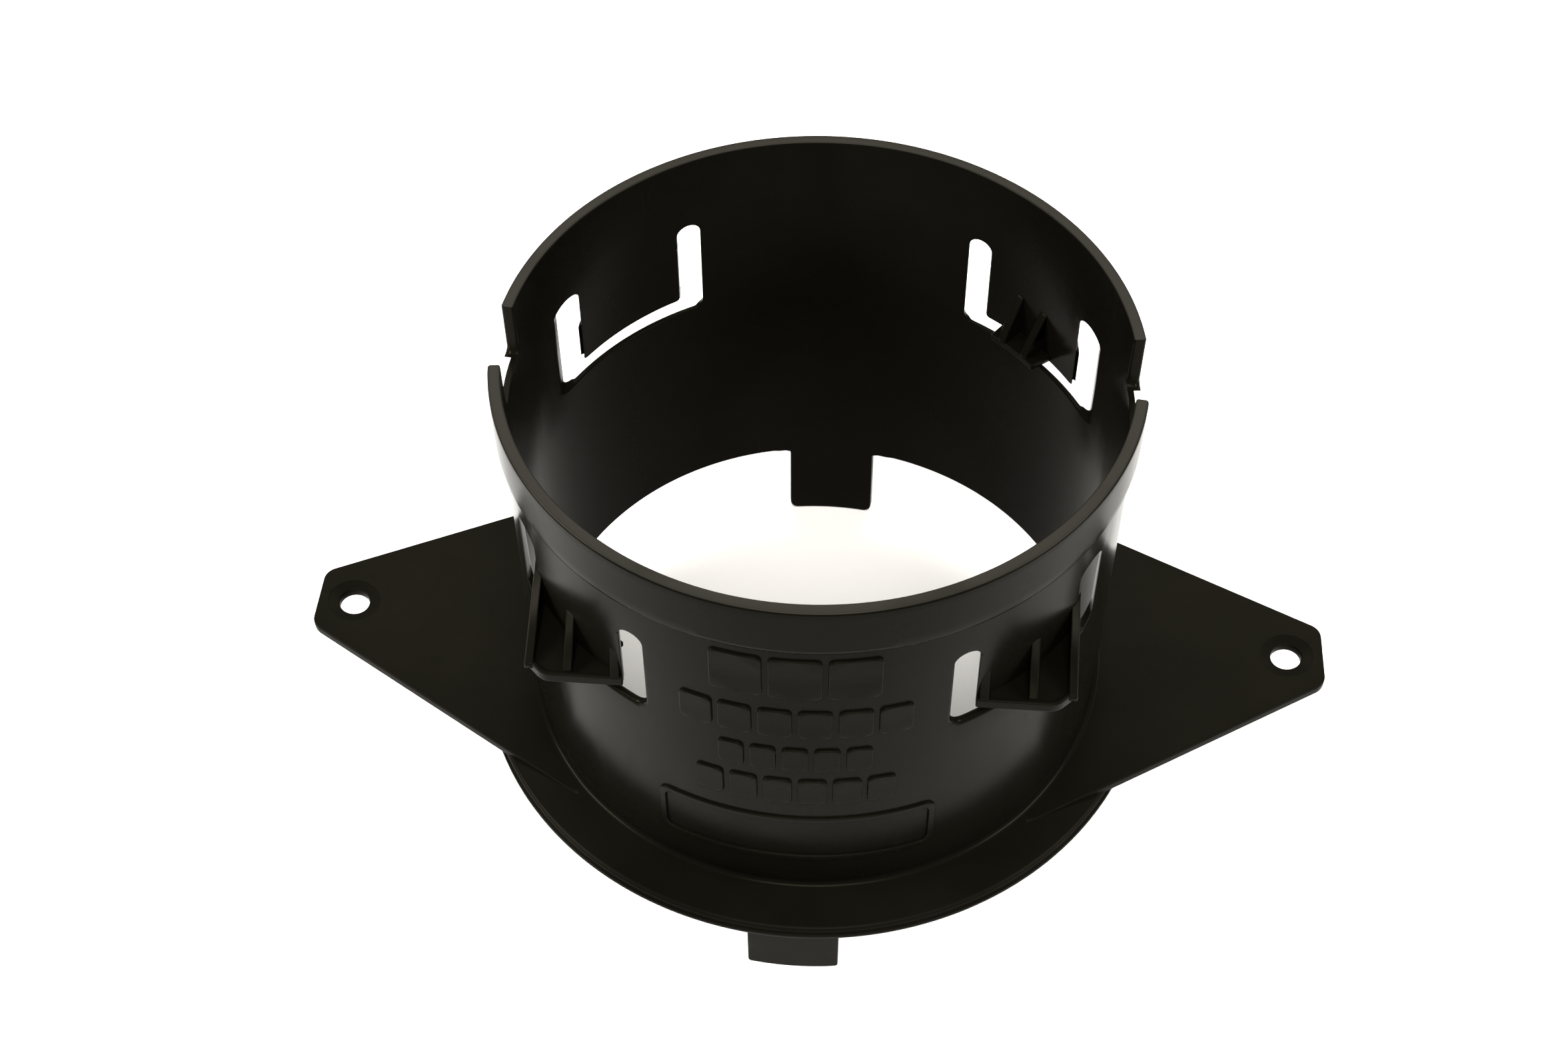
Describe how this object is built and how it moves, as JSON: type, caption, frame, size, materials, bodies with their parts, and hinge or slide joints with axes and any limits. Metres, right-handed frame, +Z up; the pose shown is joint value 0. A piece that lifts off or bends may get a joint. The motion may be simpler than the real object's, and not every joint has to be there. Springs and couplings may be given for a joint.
{
  "type": "snap-in drain pipe flange",
  "caption": "Short round barrel with a split collar, a base ring with two raised screw ears, hanging tabs, and snap latches whose hooks grip a pipe inside and outside.",
  "frame": {"origin": "on the barrel axis at the level of the lower ends of the two hanging tabs, where the part stands on a table", "axes": "+Z up along the barrel to the collar, +X to the right ear, -Y to the front with the label pad"},
  "size_m": [0.1766, 0.1162, 0.0925],
  "materials": {
    "black_plastic": "satin to semi-gloss moulded black"
  },
  "bodies": {
    "root": {"barrel": "black_plastic", "collar_front": "black_plastic", "collar_rear": "black_plastic", "base_ring": "black_plastic", "ring_bead": "black_plastic", "ring_lip": "black_plastic", "left_ear": "black_plastic", "right_ear": "black_plastic", "front_tab": "black_plastic", "rear_tab": "black_plastic", "label_pad": "black_plastic", "label_rows": "black_plastic"},
    "front_left_latch": {"front_left_finger": "black_plastic", "front_left_shelf": "black_plastic", "front_left_inner_rib": "black_plastic", "front_left_middle_rib": "black_plastic", "front_left_outer_rib": "black_plastic", "front_left_grip_shelf": "black_plastic", "front_left_grip_ribs": "black_plastic"},
    "front_right_latch": {"front_right_finger": "black_plastic", "front_right_shelf": "black_plastic", "front_right_inner_rib": "black_plastic", "front_right_middle_rib": "black_plastic", "front_right_outer_rib": "black_plastic"},
    "rear_left_latch": {"rear_left_finger": "black_plastic", "rear_left_shelf": "black_plastic", "rear_left_inner_rib": "black_plastic", "rear_left_middle_rib": "black_plastic", "rear_left_outer_rib": "black_plastic"},
    "rear_right_latch": {"rear_right_finger": "black_plastic", "rear_right_shelf": "black_plastic", "rear_right_inner_rib": "black_plastic", "rear_right_middle_rib": "black_plastic", "rear_right_outer_rib": "black_plastic", "rear_right_grip_shelf": "black_plastic", "rear_right_grip_ribs": "black_plastic"}
  },
  "joints": [
    {"name": "front_left_flex", "type": "hinge", "parent": "root", "child": "front_left_latch", "pos_m": [-0.0343, -0.0343, 0.0728], "axis": [0.7071, -0.7071, 0], "range_deg": [-10, 18], "stiffness_Nm_per_rad": 2.2},
    {"name": "front_right_flex", "type": "hinge", "parent": "root", "child": "front_right_latch", "pos_m": [0.0343, -0.0343, 0.0728], "axis": [0.7071, 0.7071, 0], "range_deg": [-4, 18], "stiffness_Nm_per_rad": 2.2},
    {"name": "rear_left_flex", "type": "hinge", "parent": "root", "child": "rear_left_latch", "pos_m": [-0.0343, 0.0343, 0.074], "axis": [-0.7071, -0.7071, 0], "range_deg": [-4, 18], "stiffness_Nm_per_rad": 2.2},
    {"name": "rear_right_flex", "type": "hinge", "parent": "root", "child": "rear_right_latch", "pos_m": [0.0343, 0.0343, 0.074], "axis": [-0.7071, 0.7071, 0], "range_deg": [-10, 18], "stiffness_Nm_per_rad": 2.2}
  ]
}
